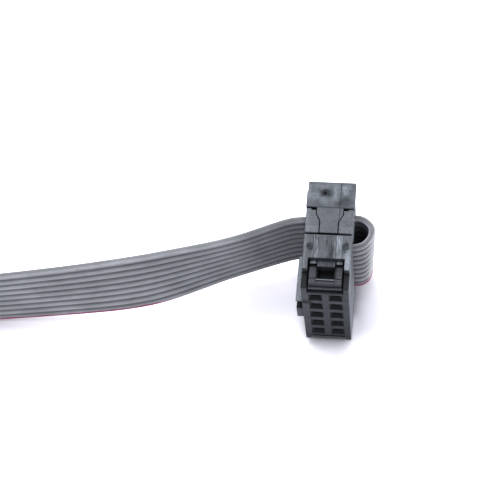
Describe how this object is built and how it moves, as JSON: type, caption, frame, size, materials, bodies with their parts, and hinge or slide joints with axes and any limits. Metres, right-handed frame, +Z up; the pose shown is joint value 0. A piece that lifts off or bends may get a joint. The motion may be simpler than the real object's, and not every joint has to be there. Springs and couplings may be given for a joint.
{
  "type": "ribbon cable",
  "caption": "Flat ribbon cable with a keyed push-on socket and a strain relief clamped at each end, its spare length in a loose roll.",
  "frame": {"origin": "on the standing surface, at the middle of the bridge that closes the near housing's lower end", "axes": "-Y out of the near socket's mating face, +Z up along its rows of contacts, -X the way the ribbon leaves it"},
  "size_m": [0.1172, 0.0609, 0.0174],
  "materials": {
    "housing": "dark glass-filled plastic, moulded",
    "cover": "dark glass-filled plastic, moulded",
    "contact": "stamped and plated",
    "ribbon": "soft grey vinyl insulation, one edge wire marked red"
  },
  "bodies": {
    "root": {"socket_housing": "housing", "socket_cover": "cover", "strain_relief": "cover", "clamped_ribbon": "ribbon", "contact_a1": "contact", "contact_a2": "contact", "contact_a3": "contact", "contact_a4": "contact", "contact_a5": "contact", "contact_b1": "contact", "contact_b2": "contact", "contact_b3": "contact", "contact_b4": "contact", "contact_b5": "contact", "ribbon_run": "ribbon", "ribbon_roll": "ribbon", "ribbon_tail": "ribbon", "far_socket_housing": "housing", "far_socket_cover": "cover", "far_strain_relief": "cover", "far_clamped_ribbon": "ribbon", "far_contact_a1": "contact", "far_contact_a2": "contact", "far_contact_a3": "contact", "far_contact_a4": "contact", "far_contact_a5": "contact", "far_contact_b1": "contact", "far_contact_b2": "contact", "far_contact_b3": "contact", "far_contact_b4": "contact", "far_contact_b5": "contact"}
  },
  "joints": []
}
